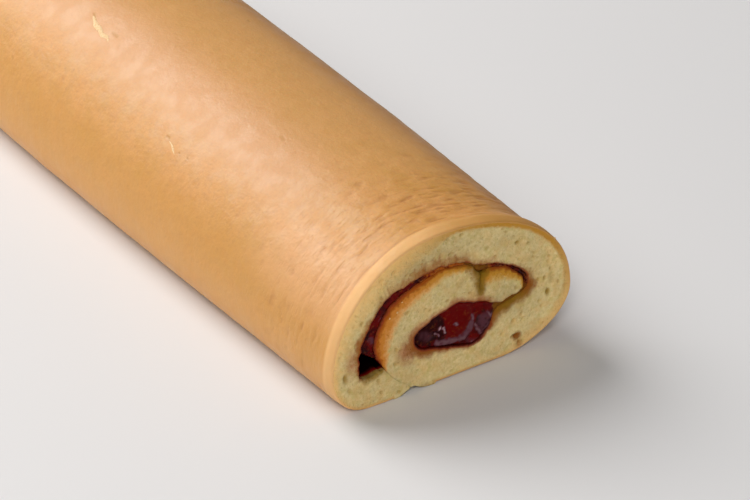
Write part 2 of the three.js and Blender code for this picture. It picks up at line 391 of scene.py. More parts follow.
def pores(points, field, seed, count):
    """Pits scattered over the points, drawn out along the sheet: their depth at each point."""
    chance = np.random.default_rng(seed)
    depth = np.zeros(len(points))
    low, high = points.min(0), points.max(0)
    for _ in range(count):
        centre = chance.uniform(low, high)
        size = 0.34 + 0.5 * chance.random() ** 4
        angle = math.atan2(centre[1] - POOL_CENTRE[1], (centre[0] - POOL_CENTRE[0]) * 0.6) + math.pi / 2
        reach = np.abs(points - centre).max(1) < 2.2 * size
        turn = np.array([[math.cos(angle), -math.sin(angle)], [math.sin(angle), math.cos(angle)]])
        across = (points[reach] - centre) @ turn
        spread = np.hypot(across[:, 0] / (1.5 * size), across[:, 1] / size)
        depth[reach] = np.maximum(depth[reach], size * 0.8 * np.clip(1 - spread**2, 0, 1))
    return depth * field


# ---- the sponge

LIP_ROWS = 14  # of the skin's mesh, over the lip
# How far behind a cut the rows of the inner faces stand, about.
INNER_ROWS = (0, 0.3, 0.7, 1.2, 1.9, 3, 4.5, 7, 14, 45, HALF)
PORES = 620


def stations():
    """How far behind a cut the skin's rows stand, up to the middle of the roll: finest near the cut."""
    curl = LIP_LENGTH * (np.arange(LIP_ROWS) / (LIP_ROWS - 1)) ** 1.8
    reach = list(curl)
    while reach[-1] < HALF - 1.5:
        reach.append(reach[-1] + min(0.48 + 0.05 * max(0, reach[-1] - 24), 2.4))
    return np.concatenate([curl, np.array(reach[LIP_ROWS:]) * HALF / reach[-1]])


def filled(loop, step, seed):
    """Points inside a closed loop, with the loop's own points first, and triangles over all of them."""
    chance = np.random.default_rng(seed)
    low, high = loop.min(0), loop.max(0)
    rows = np.arange(low[1], high[1], step * 0.87)
    along = np.arange(low[0], high[0], step)
    grid = np.array([(x + row % 2 * step / 2, z) for row, z in enumerate(rows) for x in along])
    grid = grid + chance.uniform(-0.22, 0.22, grid.shape) * step
    clear = nearest_on(grid, np.vstack([loop, loop[:1]]))[0] > step * 0.55
    grid = grid[clear & inside(grid, loop)]
    points = np.vstack([loop, grid])
    corners = [Vector(p) for p in points]
    found = delaunay_2d_cdt(corners, [], [list(range(len(loop)))], 1, 1e-7)
    origin = [first[0] for first in found[3]]
    return points, np.array([[origin[i] for i in face] for face in found[2]])


def strip(low_row, high_row):
    """Quads between two rows of vertex numbers."""
    return np.stack([low_row[:-1], high_row[:-1], high_row[1:], low_row[1:]], axis=1).tolist()


def zipped(many, many_at, few, few_at):
    """Triangles between two columns of vertex numbers whose rows stand at different places."""
    faces, i, j = [], 0, 0
    while i < len(many) - 1 or j < len(few) - 1:
        if j == len(few) - 1 or (i < len(many) - 1 and many_at[i + 1] <= few_at[j + 1]):
            faces.append([many[i], few[j], many[i + 1]])
            i += 1
        else:
            faces.append([many[i], few[j], few[j + 1]])
            j += 1
    return faces


def add_object(name, data):
    made = bpy.data.objects.new(name, data)
    bpy.context.scene.collection.objects.link(made)
    return made


def mesh_object(name, points, faces, material, attributes):
    mesh = bpy.data.meshes.new(name)
    mesh.from_pydata(points.tolist(), [], faces)
    mesh.validate()
    mesh.shade_smooth()
    for key, values in attributes.items():
        layer = mesh.attributes.new(key, "FLOAT", "POINT")
        layer.data.foreach_set("value", np.ascontiguousarray(values, np.float32))
    mesh.materials.append(material)
    return add_object(name, mesh)


# How far jam has soaked in behind the inner turn's browned face, by mm from the crack's tip, and behind the
# knob's, by mm from its nose.
SOAKED = [
    (0, 1), (11, 1.8), (16, 3.6), (24, 4.8), (34, 6.8), (42, 7.8), (50, 8.4), (58, 8.2), (64, 7), (68, 5),
    (72, 2.6), (96, 2),
]
SOAKED_FROM, SOAKED_TO = (8, 14), (67, 75)
KNOB_SOAKED = [(0, 1.6), (4, 2.8), (10, 5.6), (16, 7), (19, 6.6)]
# The browned band at the skin on the cut, by mm round the skin from the seam: how wide, and how dark.
CRUST = [
    (0, 1.8, 0.35), (20, 1.8, 0.4), (30, 3, 0.15), (42, 5.2, 0.1), (58, 4.4, 0.25), (72, 3, 0.6),
    (84, 3.2, 1), (112, 3.4, 1), (128, 2.8, 0.8), (138, 6.2, 0.35), (152, 9.6, 0.15), (166, 9, 0),
    (186, 5.6, 0.05), (205, 3.8, 0.1), (218, 1.6, 0.3), (232, 1.4, 0.3),
]
# Along the sheet's inner faces, by mm along them: how wide, and how much brown, olive and pink. Brown and
# pink are stains that jam has left; olive is painted shade in the crack, under the knob and on the hollow's
# floor, and the brown under the knob is partly painted shade.
STAINS_AND_SHADE = [
    (18, 2.5, 0, 0, 0), (22, 2.5, 0.2, 0.8, 0), (28, 2.8, 0.4, 0.7, 0), (33, 3, 0.7, 0, 0.3),
    (38, 4.6, 0.8, 0, 0.6), (43, 5.6, 0.9, 0, 0.6), (48, 4.8, 0.8, 0, 0.4), (52, 4.2, 0.7, 0, 0.2),
    (60, 3.4, 0.6, 0, 0.2), (69, 4.8, 0.65, 0, 0.3), (78, 6, 0.7, 0, 0.4), (87, 5.4, 0.65, 0, 0.4),
    (96, 4.4, 0.6, 0, 0.3), (105, 3.2, 0.55, 0.1, 0.2), (114, 2, 0.4, 0, 0.1), (123, 3.4, 0.65, 0, 0.1),
    (127, 5.4, 1, 0, 0), (129.5, 5.2, 1, 0.4, 0), (132, 4.4, 0.9, 0.7, 0), (136, 4.8, 1, 0.8, 0),
    (140, 5.8, 1, 0.6, 0), (145, 4.6, 0.9, 0.2, 0.3), (150, 2.4, 0.5, 0, 0.6), (154, 1.8, 0.4, 0, 0.6),
    (163, 3.4, 0.6, 0, 0.8), (171, 4.6, 1, 0, 0.9), (180, 7, 0.8, 0, 1), (189, 3.2, 0.2, 0, 0.9),
    (203, 3.4, 0.4, 0, 1), (212, 4, 0.6, 0, 0.9), (221, 2.4, 0.4, 0.2, 0.3), (229, 1.6, 0.6, 0.2, 0),
    (240, 1, 0, 0, 0), (246, 1, 0, 0.2, 0), (250, 2.4, 0.5, 0.8, 0), (256, 3.2, 0.5, 0.9, 0),
    (262, 4.2, 0.5, 0.9, 0), (266, 5, 0.8, 0.6, 0), (271, 4, 0.5, 0.4, 0), (276, 2, 0.2, 0.2, 0),
    (280, 1, 0, 0, 0), (353, 1, 0, 0, 0),
]
# Patches on the cut: x, z, half width, half height, strength.
# The brown patches are partly jam stains and partly painted shade: over the deep holes low on the right,
# along the foot of the cut and at the top left.
BROWN = [
    (25.4, 6.2, 2.3, 1.9, 0.9), (26.2, 3, 1.9, 2.8, 0.6), (17.4, 2.5, 1.8, 1.2, 0.2),
    (7.2, 38.4, 3.6, 3.2, 0.4), (-9, 0.6, 12, 1.6, 0.35), (-20, 13.5, 3.5, 3, 0.25),
    (-6, 48.5, 6, 2.5, 0.2), (-16, 47, 7, 3, 0.15),
]
PINK = [
    (-39.2, 19.5, 3.2, 7, 0.6), (-35.8, 24.4, 2.4, 3, 0.5), (8, 28, 6, 1.8, 0.45), (6, 10.4, 9, 1.8, 0.35),
    (32.4, 23, 0.8, 0.7, 1), (-8, 45.2, 14, 1.8, 0.35), (14.5, 39.6, 5, 1.4, 0.35),
    (-17.8, 16.4, 4.8, 6, 0.8),
]
# Olive patches are painted shade, mostly over the holes in HOLES.
OLIVE_SHADE = [
    (37.6, 19, 1.2, 1.9, 0.65), (36.4, 20.8, 0.9, 0.9, 0.35), (25, 42.3, 1.4, 1.1, 0.5),
    (29.6, 40.4, 1.2, 0.9, 0.35), (-41.7, 14.5, 1.3, 2.8, 0.5), (13, 44.5, 1.2, 0.9, 0.4),
    (-1, 47, 1.6, 1, 0.35), (6, 48.4, 1.4, 1, 0.35), (-4, 36, 2.6, 2, 0.25), (3, 34.5, 3, 2.2, 0.3),
    (36.2, 24.5, 0.8, 1.6, 0.5), (38.4, 27.5, 0.7, 1.4, 0.45), (38.5, 24, 1.6, 3, 0.35),
    (30, 12.6, 1.1, 0.8, 0.4), (-36, 8, 4, 3, 0.2), (36, 32, 3, 5, 0.25), (20, 45, 6, 2.4, 0.2),
]
# Where the crumb is painted darker or lighter, mostly as painted shade and light and at the top left partly
# as staining: by what share, and the x and the z between which that comes in.
PAINTED_TONES = [
    (-0.13, (16, -6), (41, 47)), (0.12, (31, 38), (4, 12)), (0.06, (-16, -24), (16, 8)),
    (0.14, (-18, -10), (20, 8)),
]
KNOB_SHADE = (20, 24.5, 6, 3.4)  # x, z, half width, half height


def patches(points, table, seed):
    x, z = points.T
    fray = 0.16 * noise(seed, x / 2.6, z / 2.6)
    total = np.zeros(len(points))
    for *oval, strength in table:
        spread = off_centre(points, *oval)
        total = np.maximum(total, strength * smooth(1.35, 0.2, spread + fray * smooth(0.2, 0.6, spread)))
    return total


def cut_fields(points):
    """What the crumb's material reads at points of the cut."""
    x, z = points.T
    skin_gap, skin_at = nearest_on(points, skin_line)
    band, dark = looked_up(CRUST, skin_at)
    crust = skin_gap / band
    turn_gap, turn_at = nearest_face(points, crack)
    knob_gap, knob_at = nearest_face(points, nose, shoulder + 1)
    wall_gap = nearest_face(points, shoulder, crack + 1)[0]
    turn_at, knob_at = turn_at - inside_along[crack], knob_at - inside_along[nose]
    outer_gap = nearest_face(points, 0, outer_end)[0]
    turn_soaked = turn_gap / looked_up(SOAKED, turn_at)[0]
    turn_soaked = turn_soaked + smooth(*SOAKED_FROM[::-1], turn_at) + smooth(*SOAKED_TO, turn_at)
    knob_soaked = knob_gap / looked_up(KNOB_SOAKED, knob_at)[0]
    knob_soaked = np.where(turn_gap < np.minimum(knob_gap, wall_gap), 1, knob_soaked)
    soaked = np.minimum(turn_soaked, knob_soaked)
    soaked = np.where(outer_gap < np.minimum(turn_gap, knob_gap) - 0.2, 1, np.clip(soaked, 0, 1))
    tone = 1 + sum(share * smooth(*across, x) * smooth(*up, z) for share, across, up in PAINTED_TONES)
    tone = tone - 0.13 * smooth(1.3, 0.3, off_centre(points, *KNOB_SHADE))
    tone = tone + 0.04 * noise(31, x / 4.5, z / 4.5) + 0.05 * noise(35, x / 1.8, z / 1.6)
    edge_gap, edge_at = nearest_face(points)
    width, brown, olive, pink = looked_up(STAINS_AND_SHADE, edge_at)
    combed = 0.4 * noise(37, x / 0.75 + z / 6, z / 5)
    combed = combed * smooth(-32, -26, x) * smooth(14, 6, x) * smooth(30, 36, z)
    stained = smooth(1, 0, edge_gap / width * (1 + 0.3 * noise(33, x / 3, z / 3) + combed))
    return {
        "crust": np.clip(crust, 0, 2),
        "dark": dark,
        "golden": np.maximum(smooth(-1.5, 1.5, turn_gap - knob_gap), 0.8 * smooth(40, 20, turn_at)),
        "soaked": soaked,
        "brown": np.maximum(patches(points, BROWN, 21), brown * stained),
        "pink": np.maximum(patches(points, PINK, 23), pink * stained),
        "olive": np.maximum(patches(points, OLIVE_SHADE, 25), olive * stained),
        "tone": tone,
        "jammy": np.clip(1 - edge_gap / 1.1, 0, 1) * looked_up(EDGES, edge_at)[2],
    }


# Creases and holes that go deep into the cut: x, z, half width, half height, depth.
HOLES = [
    (25.2, 6.4, 1.3, 1, 1.1), (26.3, 3.4, 0.7, 1.6, 0.5), (37.6, 19, 0.9, 1.5, 0.9),
    (-41.7, 14.6, 0.6, 2, 0.6), (25, 42.3, 0.8, 0.6, 0.7), (29.6, 40.4, 0.8, 0.5, 0.5),
    (-1, 47, 0.8, 0.5, 0.5), (32.4, 23, 0.5, 0.5, 0.6), (36.2, 24.5, 0.5, 1.2, 0.6),
    (38.4, 27.5, 0.4, 1, 0.5), (35.2, 14.2, 0.5, 0.9, 0.5), (33.6, 33.5, 0.6, 0.5, 0.5),
]


def cut_relief(points, skin_gap, skin_at, seed):
    """How deep each point of a cut lies behind the plane of the cut, and how much of that is pits."""
    x, z = points.T
    gap, at = nearest_face(points)
    wide, deep, _ = looked_up(EDGES, at)
    edge_gap = np.minimum(skin_gap, gap)
    waves = 0.15 * (1 + noise(seed, x / 7, z / 7)) + 0.07 * (1 + noise(seed + 1, x / 2.2, z / 2.2))
    grain = 0.05 * (1 + noise(seed + 2, x / 0.9, z / 0.9))
    sag = 0.7 * smooth(20, -4, x) * smooth(51, 44, z) * smooth(40, 43, z)
    pits = pores(points, smooth(0.5, 1.4, edge_gap), seed + 3, PORES)
    for *oval, depth in HOLES:
        pits = np.maximum(pits, depth * smooth(1.15, 0.3, off_centre(points, *oval)))
    relief = (waves + sag) * smooth(0, 2.4, edge_gap) + grain * smooth(0, 0.8, edge_gap) + pits
    back = looked_up(EDGE_BACK, skin_at)[0] * np.clip(1 - skin_gap / EDGE_BACK_WIDTH, 0, 1) ** 2
    return relief + rounding(gap, wide, deep) + back, pits


# The inner faces go dark round the hollow, first jam red and then near black, painted shade: the mm along
# them between which that comes in and goes again, for its floor, its back wall and the two corners beside
# the seam.
DARK = [((19, 22), (46, 43)), ((315, 318), (328, 326)), ((12, 14), (26, 22)), ((322, 325), (338, 336))]
SHELF_FRONT = (32, 29)

# The fields of the mesh that the sponge's material reads.
FIELDS = "on_skin around reach lines crust dark soaked golden brown pink olive tone jammy pit hollow".split()


def columns(count, **values):
    """The material's fields for count points: 0 where no value is given."""
    return np.stack([np.broadcast_to(values.get(name, 0), count) for name in FIELDS], axis=1)


def sponge():
    """The sheet of sponge as one closed mesh: its skin, its faces inside the roll and both cuts."""
    half_rows = stations()
    rows = len(half_rows) * 2 - 1
    row_reach = np.concatenate([half_rows, half_rows[-2::-1]])
    side = np.where(np.arange(rows) < len(half_rows), -1, 1)
    few = np.unique([np.argmin(abs(half_rows - r)) for r in INNER_ROWS])
    few_rows = np.concatenate([few, rows - 1 - few[-2::-1]])
    normals = outward(skin_line)
    _, deep, coat = looked_up(EDGES, inside_along)
    skin_dark = looked_up(CRUST, skin_along)[1]
    edge_back = looked_up(EDGE_BACK, skin_along)[0]
    points, fields = [], []

    for row in range(rows):
        reach = row_reach[row]
        along = np.full(len(skin_along), reach if side[row] < 0 else ROLL_LENGTH - reach)
        relief, lines = skin_relief(skin_along, reach, along, SKIN_SEED)
        relief = relief * smooth(0, 5, skin_line[:, 1])
        line = drawn_in(skin_line, normals, reach) - normals * relief[:, None]
        behind = reach + edge_back * max(0, 1 - reach / LIP_LENGTH)
        points.append(placed(line[:, 0], behind, line[:, 1], side[row]))
        here = {"around": skin_along, "reach": reach, "lines": lines, "dark": skin_dark}
        fields.append(columns(len(line), on_skin=1, soaked=1, tone=1, **here))
    inner_cut = cut_fields(cut_line[1:-1])
    inner_along = inside_along[1:-1]
    shelf, back_wall, *corners = (
        smooth(*rise, inner_along) * smooth(*fall, inner_along) for rise, fall in DARK
    )
    shelf_front = smooth(*SHELF_FRONT, inner_along)
    corner = sum(corners)
    for row in few_rows:
        reach = row_reach[row]
        line = inner_face(reach)[1:-1]
        behind = reach + (1 - reach / HALF) * deep[1:-1]
        points.append(placed(line[:, 0], behind, line[:, 1], side[row]))
        jammy = np.maximum(inner_cut["jammy"], coat[1:-1] * smooth(0, 1, reach))
        deep_shelf = (0.5 + smooth(0, 6, reach)) * (1 - shelf_front)
        hollow = shelf * (smooth(0.8, 4, reach) * shelf_front + deep_shelf)
        hollow = np.maximum(hollow, back_wall * (0.5 * smooth(0, 0.8, reach) + smooth(1.5, 6, reach)))
        hollow = np.clip(np.maximum(hollow, corner * smooth(1, 2.5, reach)), 0, 1)
        fields.append(columns(len(line), **{**inner_cut, "jammy": jammy, "hollow": hollow, "crust": 2}))

    count, inner_count = len(skin_line), len(inside_line) - 2
    skin_index = np.arange(rows * count).reshape(rows, count)
    inner_index = rows * count + np.arange(len(few_rows) * inner_count).reshape(-1, inner_count)
    faces = []
    for row in range(rows - 1):
        faces += strip(skin_index[row], skin_index[row + 1])
    for row in range(len(few_rows) - 1):
        faces += strip(inner_index[row], inner_index[row + 1])
    faces += zipped(skin_index[:, -1], np.arange(rows), inner_index[:, 0], few_rows)
    faces += [face[::-1] for face in zipped(skin_index[:, 0], np.arange(rows), inner_index[:, -1], few_rows)]

    flat_skin = drawn_in(skin_line, normals, 0)
    loop = np.vstack([flat_skin, cut_line[1:-1]])
    cut_points, cut_faces = filled(loop, CUT_STEP, 3)
    new = cut_points[len(loop) :]
    values = cut_fields(new)
    skin_gap, skin_at = nearest_on(new, flat_skin)
    for row, few_row, face_side in ((0, 0, -1), (rows - 1, -1, 1)):
        depth, pits = cut_relief(new, skin_gap, skin_at, 60 if face_side < 0 else 80)
        start = sum(len(p) for p in points)
        numbers = np.concatenate([skin_index[row], inner_index[few_row], start + np.arange(len(new))])
        points.append(placed(new[:, 0], depth, new[:, 1], face_side))
        fields.append(columns(len(new), **values, pit=pits))
        around_cut = numbers[cut_faces]
        faces += (around_cut if face_side < 0 else around_cut[:, ::-1]).tolist()

    layers = dict(zip(FIELDS, np.vstack(fields).T))
    return mesh_object("sponge_roll", np.vstack(points), faces, sponge_material(), layers)


# ---- the jam

JAM_OVERLAP = 0.36  # closes the solids' gap between jam and sponge
LUMP_SHARPNESS = 5  # of the creases between the lumps
HOLLOW_RECESS = 9
RIM_REACH = HOLLOW_RECESS + 4  # from here on the jam runs straight
POOL_HALF = (17, 10)
POOL_RECESS = 0.95
GAP_RECESS = 0.6
BURIED_RECESS = 2.4  # where the sponge covers it
# Lumps of fruit that show at a cut: x, z, half width, half height, how far they stand out, and how red.
LUMPS = [
    (2.2, 20.8, 5.8, 6.6, 0.7, 1), (-7, 21, 4.6, 3.6, 0.5, 0), (-10.4, 18, 3.2, 2.2, 0.35, 0.2),
    (-4, 17.6, 2.2, 2.4, 0.6, 0.3), (13.6, 16.6, 3.2, 3.6, 0.6, 0.1), (11.6, 21.6, 3.4, 2.6, 0.35, 0.6),
    (8, 11, 3.4, 1.6, 0.4, 0.8), (-8.8, 15.2, 2.6, 1.3, 0.3, 0.5),
]
GAP_LUMPS = 30  # smaller ones along the spread between the turns
GAP_ALONG = (47, 126)  # mm along the sheet's inner faces
# Folds in the jam, and painted reflections and highlights on it: their lines, half widths, and how high the
# folds stand and how strong the reflections are.
FOLDS = [
    ([(-5.6, 14.4), (-2.4, 13.8), (0.8, 13.5), (4.6, 13.1), (7, 14.6), (8.2, 17.2), (9, 20.2)], 1.5, 0.5),
    ([(9.4, 18.6), (10.6, 14.6), (12.4, 11.8)], 1, 0.4),
]
PAINTED_REFLECTIONS = [
    ([(-5.2, 19.9), (-4.3, 20.5)], 0.75, 0.9), ([(-3.6, 19.6), (-3, 17.8)], 0.6, 0.7),
    ([(-6.4, 19), (-5.7, 17.8)], 0.6, 0.55), ([(1, 19.9), (1.5, 19.6)], 0.8, 0.5),
    ([(-5.6, 14.8), (-2.4, 14.1), (0.8, 13.8), (4.4, 13.4)], 1.7, 0.4),
    ([(4.4, 13.6), (6.6, 15.4), (7.2, 18)], 2, 0.34), ([(8, 21), (8.4, 19.2)], 0.8, 0.5),
    ([(9.2, 17), (9.8, 15), (11.4, 12.6)], 0.8, 0.42), ([(14.2, 19.4), (15.6, 17.8)], 0.9, 0.45),
    ([(12.6, 17.4), (13, 15)], 4, 0.22), ([(-11, 19.6), (-9.4, 18.6)], 3, 0.14),
    ([(6.6, 11.4), (9.4, 10.4)], 1.8, 0.12), ([(7.9, 10.7), (8.1, 10.9)], 0.6, 0.45),
    ([(-31.9, 26), (-31.2, 24.6)], 1.4, 0.2), ([(-28.4, 32), (-27.8, 32.4)], 0.8, 0.22),
]
# Over the top the spread is thin, and the sponge shows through it: x, and how much.
THIN = [
    (-20, 0), (-14, 0.25), (-9, 0.6), (-5, 1), (8, 1), (12, 0.8), (15, 0.45), (20, 0.2), (24, 0),
    (27.5, 0.05), (29.5, 0.6),
]


def gap_lumps(seed):
    """Lumps scattered along the spread of jam, as LUMPS has them."""
    chance = np.random.default_rng(seed)
    spread = part_of(inside_line, inside_along, *GAP_ALONG)
    for place in spread[chance.integers(0, len(spread), GAP_LUMPS)]:
        x, z = place + chance.normal(0, 0.9, 2) + (0, -1)
        size = chance.uniform(0.7, 1.9)
        yield x, z, size * chance.uniform(0.8, 1.6), size, chance.uniform(0.3, 0.8), chance.random()


def streaks(points, table):
    """How far in the streaks of a table each point lies, up to each streak's own strength."""
    total = np.zeros(len(points))
    for line, half_width, strength in table:
        gap = nearest_on(points, np.array(line, float))[0]
        total = np.maximum(total, strength * smooth(half_width, half_width * 0.25, gap))
    return total


def jam_front(points, edge_gap, covered, seed):
    """How far the jam's front lies behind the cut, how red and thin it is, where painted shade lies in the
    crack's mouth and under the knob, where painted reflections lie, and how deep in painted shade it is in
    the hollow.
    """
    x, z = points.T
    out_of_pool = smooth(0.95, 1.25, off_centre(points, *POOL_CENTRE, *POOL_HALF))
    rise, weight, red = np.full(len(points), 1e-6), np.full(len(points), 0.03), np.full(len(points), 0.012)
    for *oval, height, redness in [*LUMPS, *gap_lumps(seed)]:
        spread = off_centre(points, *oval)
        rise = rise + (height * np.sqrt(np.clip(1 - spread**2, 0, 1))) ** LUMP_SHARPNESS
        own = smooth(1.6, 0.2, spread) ** 2
        weight, red = weight + own, red + own * redness
    rise, red = rise ** (1 / LUMP_SHARPNESS), red / weight
    rise = np.maximum(rise, streaks(points, FOLDS))
    # Painted reflections and highlights on the jam's front.
    painted_reflection = streaks(points + 0.5 * np.stack([noise(seed + 2, x, z), noise(seed + 3, x, z)], axis=1), PAINTED_REFLECTIONS)
    painted_reflection = painted_reflection * np.clip(1.05 + 0.6 * noise(seed + 4, x / 1.1, z / 1.1), 0, 1)
    thin = looked_up(THIN, x)[0] * out_of_pool
    thin = np.maximum(thin, smooth(15, 17.5, x) * smooth(26, 24, z))
    recess = POOL_RECESS + (GAP_RECESS - POOL_RECESS) * out_of_pool - rise
    recess += 0.12 * noise(seed, x / 2.6, z / 2.6) + 0.05 * noise(seed + 1, x / 1.1, z / 1.1)
    recess += 0.1 * smooth(0.9, 0, edge_gap) - 0.3 * thin
    # It lies deep in the hollow on the left, and a little deeper in the crack's mouth and under the knob.
    deep = (x < -24) * smooth(21.6, 17.4, z + 0.76 * (x + 34))
    mouth = smooth(1.3, 0.5, off_centre(points, 11, 37.6, 4, 2.6))
    under = smooth(15, 17, x) * smooth(27, 24.5, z)
    recess += 0.75 * mouth + 0.55 * under
    # Painted shade on the film, in the crack's mouth and under the knob.
    tan = smooth(2, 6, x) * smooth(16, 13, x) * smooth(34, 36, z)
    tan = np.maximum(smooth(14, 16.5, x) * smooth(27, 24.5, z), tan)
    recess = np.where(inside(points, covered), BURIED_RECESS, recess)
    return np.maximum(0.2, recess * (1 - deep) + HOLLOW_RECESS * deep), red, thin, tan, painted_reflection, deep


def jam():
    ring = as_section(middle_ring("jam"))
    loop = rounded(np.vstack([ring, ring[:1]]), JAM_STEP)[:-1]
    loop = loop + outward(loop, closed=True) * JAM_OVERLAP
    front, front_faces = filled(loop, JAM_STEP, 4)
    edge_gap = nearest_on(front, np.vstack([loop, loop[:1]]))[0]
    covered = np.vstack([skin_line, cut_line[1:-1]])
    count = len(loop)
    points, faces, fields = [], [], []
    walls = []
    for end, side in enumerate((-1, 1)):
        recess, *front_fields = jam_front(front, edge_gap, covered, 90 + end)
        numbers = end * (len(front) + count) + np.arange(len(front))
        points.append(placed(front[:, 0], recess, front[:, 1], side))
        points.append(placed(loop[:, 0], RIM_REACH, loop[:, 1], side))
        fields += [np.stack(front_fields, axis=1), np.zeros((count, len(front_fields)))]
        faces += (numbers[front_faces] if side < 0 else numbers[front_faces][:, ::-1]).tolist()
        rim = np.append(numbers[:count], numbers[0])
        walls.append(len(front) + end * (len(front) + count) + np.append(np.arange(count), 0))
        faces += strip(rim, walls[-1]) if side < 0 else strip(walls[-1], rim)
    faces += strip(*walls)
    layers = dict(zip(("red", "thin", "tan", "painted_reflection", "deep"), np.vstack(fields).T))
    return mesh_object("jam_filling", np.vstack(points), faces, jam_material(), layers)


# ---- flakes and crumbs

FLAKE_THICKNESS = 0.3
FLAKE_SUNK = 0.08  # how deep its edges lie in the skin
FLAKE_ROOT = 0.45  # and its underside
# Slivers of crust that have lifted: their middle lines, [mm round the skin, mm along Y], and half widths.
FLAKES = [
    ([(149.8, 41.6), (151, 38.8), (151.9, 36.6), (152.1, 34), (153.2, 31.2), (152.8, 28.6), (153.9, 26.2)],
     1.1),
    ([(167, -27.9), (167.5, -30), (168.8, -32.4), (169.6, -33.9)], 0.45),
    ([(96, 61), (96.9, 58), (96.6, 55.2), (97.6, 52.6)], 0.55),
    ([(188, 88), (187.4, 85.6), (188.2, 83)], 0.4),
]


def on_skin(around, along):
    """Places on the roll's skin, in the part's frame, and the directions out of it."""
    around, along = np.broadcast_arrays(np.asarray(around, float), np.asarray(along, float))
    reach = HALF - np.abs(along)
    relief = skin_relief(around, reach, along + HALF, SKIN_SEED)[0]
    x, z = (np.interp(around, skin_along, skin_line[:, i]) for i in (0, 1))
    out = np.stack([np.interp(around, skin_along, column) for column in outward(skin_line).T], axis=-1)
    places = np.stack([x, z], axis=-1) - out * relief[..., None]
    side = np.where(along < 0, -1, 1)
    directions = np.stack([out[..., 0], 0 * along, out[..., 1]], axis=-1)
    return placed(places[..., 0], reach, places[..., 1], side), directions


def flake(name, line, half_width, seed):
    """A thin sliver of crust along a line on the skin: its edges lie in the skin, its middle stands off."""
    line = rounded(np.array(line), 0.35)
    along = length_along(line)
    share = along / along[-1]
    across = outward(line)
    width = half_width * np.sin(np.pi * np.clip(share, 0.03, 0.97)) ** 0.6
    width = width * (1 + 0.25 * noise(seed, along / 0.9))
    steps = np.linspace(-1, 1, 7)
    flat = line[:, None] + across[:, None] * (steps[:, None] * width[:, None, None])
    taper = np.sin(np.pi * np.clip(share, 0.02, 0.98))[:, None] ** 0.5
    height = FLAKE_THICKNESS * (1 - np.abs(steps) ** 3) * taper - FLAKE_SUNK
    height = height + 0.06 * noise(seed + 1, flat[..., 0] / 0.6, flat[..., 1] / 0.6)
    places, out = on_skin(flat[..., 0], flat[..., 1])
    top = places + out * (height[..., None] * MM)
    bottom = places - out * (FLAKE_ROOT * MM)
    rows, width_count = height.shape
    points = np.vstack([top.reshape(-1, 3), bottom.reshape(-1, 3)])
    grid = np.arange(rows * width_count).reshape(rows, width_count)
    below = grid + rows * width_count
    faces = []
    for row in range(rows - 1):
        faces += [face[::-1] for face in strip(grid[row], grid[row + 1])] + strip(below[row], below[row + 1])
    border = np.concatenate([grid[0], grid[1:, -1], grid[-1, -2::-1], grid[-2:0:-1, 0], grid[:1, 0]])
    faces += strip(border, border + rows * width_count)
    return mesh_object(name, points, faces, flake_material, {})


# Crumbs that cling to the cuts: x, z, how far they stand out of the cut, and their size.
CRUMBS = [(39.9, 38.4, 0.1, 0.6), (-24.6, 31.4, 0.1, 0.45), (-21.6, 32.6, 0.1, 0.4), (-19.8, 35.9, 0, 0.3)]


def crumbs():
    """Small irregular crumbs, as one piece."""
    shape = bmesh.new()
    chance = np.random.default_rng(77)
    for side in (-1, 1):
        for x, z, stands_out, size in CRUMBS:
            if side > 0:
                x, z = x + chance.normal(0, 0.5), z + chance.normal(0, 0.4)
            centre = placed(x, -stands_out, z, side)
            made = bmesh.ops.create_icosphere(shape, subdivisions=3, radius=1)["verts"]
            form = np.array([v.co for v in made])
            lumpy = 1 + 0.3 * noise(int(chance.integers(1000)), *(form.T * 1.6 + 9))
            lumpy = lumpy + 0.12 * noise(3, *(form.T * 4 + 9))
            form = form * lumpy[:, None] * np.array([1, 0.7, 0.8]) * size * MM
            centre[1] = side * min(abs(centre[1]), HALF * MM - (side * form[:, 1]).max())
            for vertex, place in zip(made, form + centre):
                vertex.co = place
    mesh = bpy.data.meshes.new("crumbs")
    shape.to_mesh(mesh)
    shape.free()
    mesh.shade_smooth()
    mesh.materials.append(crumb_material)
    return add_object("crumbs", mesh)


# ---- materials


